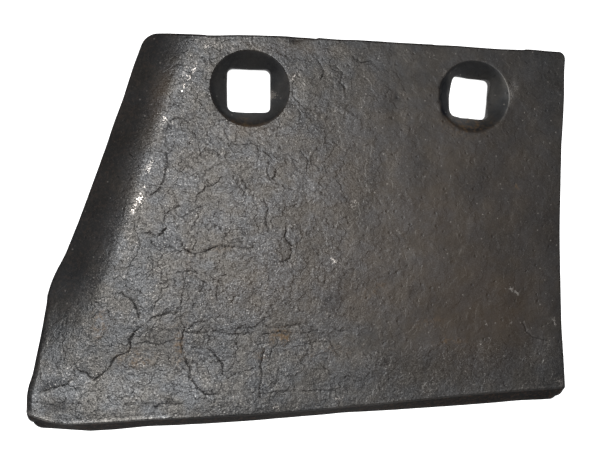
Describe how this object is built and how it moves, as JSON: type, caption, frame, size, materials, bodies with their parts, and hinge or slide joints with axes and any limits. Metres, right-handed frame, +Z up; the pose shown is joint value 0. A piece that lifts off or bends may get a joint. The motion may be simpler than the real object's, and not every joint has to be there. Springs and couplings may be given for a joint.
{
  "type": "fertilizer coulter share",
  "caption": "Forged steel coulter share: flat trapezoid plate with a bent-back leading lip, countersunk square bolt holes along the top and a bevelled bottom edge.",
  "frame": {"origin": "middle of the footprint of the share's bounding box, on the surface that it rests on", "axes": "+X from the leading lip towards the rear edge, +Y towards the top edge with the bolt holes, +Z up, out of the front face of the share as it lies on its back"},
  "size_m": [0.1626, 0.1136, 0.01],
  "materials": {
    "scaled_steel": "dark mill scale as formed hot, with light rust tints"
  },
  "bodies": {
    "root": {"coulter_share": "scaled_steel"}
  },
  "joints": []
}
